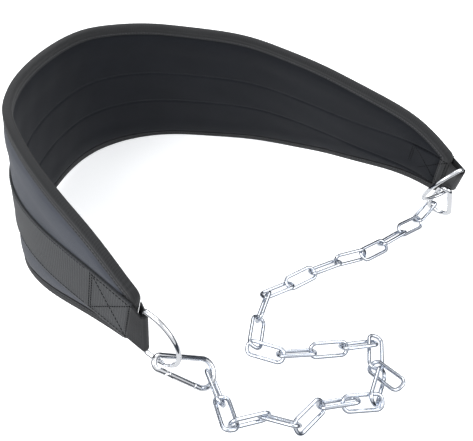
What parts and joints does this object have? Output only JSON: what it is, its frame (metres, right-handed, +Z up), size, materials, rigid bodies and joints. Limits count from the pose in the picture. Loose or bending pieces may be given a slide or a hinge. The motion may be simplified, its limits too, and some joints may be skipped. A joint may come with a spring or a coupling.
{
  "type": "dip belt",
  "caption": "Contoured padded waist belt with webbing, D-rings and spring snaps that carry a short steel loading chain.",
  "frame": {"origin": "on the surface that the belt lies on, under the middle of the whole", "axes": "+Z up from the surface; -Y towards the near end of the belt, +X along the open side where the chain's ends meet the rings"},
  "size_m": [0.466, 0.4218, 0.1892],
  "materials": {
    "panel_fabric": "woven blue-grey fabric over foam, near-black on the inner face",
    "binding_tape": "folded ribbed tape with a stitch line",
    "webbing": "dark grey ribbed webbing",
    "loop_webbing": "smooth charcoal webbing",
    "chrome": "bright polished plate",
    "gate_steel": "polished, slightly softer than the body",
    "chain_steel": "bright zinc plate with soft reflections"
  },
  "bodies": {
    "belt": {"belt_panel": "panel_fabric", "edge_binding": "binding_tape", "outer_webbing": "webbing", "near_loop": "loop_webbing", "near_d_ring": "chrome", "near_snap_body": "chrome", "far_loop": "loop_webbing", "far_d_ring": "chrome", "far_snap_body": "chrome", "chain_link_01": "chain_steel", "chain_link_02": "chain_steel", "chain_link_03": "chain_steel", "chain_link_04": "chain_steel", "chain_link_05": "chain_steel", "chain_link_06": "chain_steel", "chain_link_07": "chain_steel", "chain_link_08": "chain_steel", "chain_link_09": "chain_steel", "chain_link_10": "chain_steel", "chain_link_11": "chain_steel", "chain_link_12": "chain_steel", "chain_link_13": "chain_steel", "chain_link_14": "chain_steel", "chain_link_15": "chain_steel", "chain_link_16": "chain_steel", "chain_link_17": "chain_steel", "chain_link_18": "chain_steel", "chain_link_19": "chain_steel", "chain_link_20": "chain_steel", "chain_link_21": "chain_steel", "chain_link_22": "chain_steel", "chain_link_23": "chain_steel", "chain_link_24": "chain_steel"},
    "near_gate": {"near_snap_gate": "gate_steel"},
    "far_gate": {"far_snap_gate": "gate_steel"}
  },
  "joints": [
    {"name": "near_gate_hinge", "type": "hinge", "parent": "belt", "child": "near_gate", "pos_m": [-0.05987, -0.17177, 0.03434], "axis": [0.6592, -0.2509, 0.7088], "range_deg": [0, 20], "stiffness_Nm_per_rad": 0.02},
    {"name": "far_gate_hinge", "type": "hinge", "parent": "belt", "child": "far_gate", "pos_m": [0.20756, 0.03287, 0.04541], "axis": [-0.5491, -0.7077, -0.4445], "range_deg": [0, 20], "stiffness_Nm_per_rad": 0.02}
  ]
}
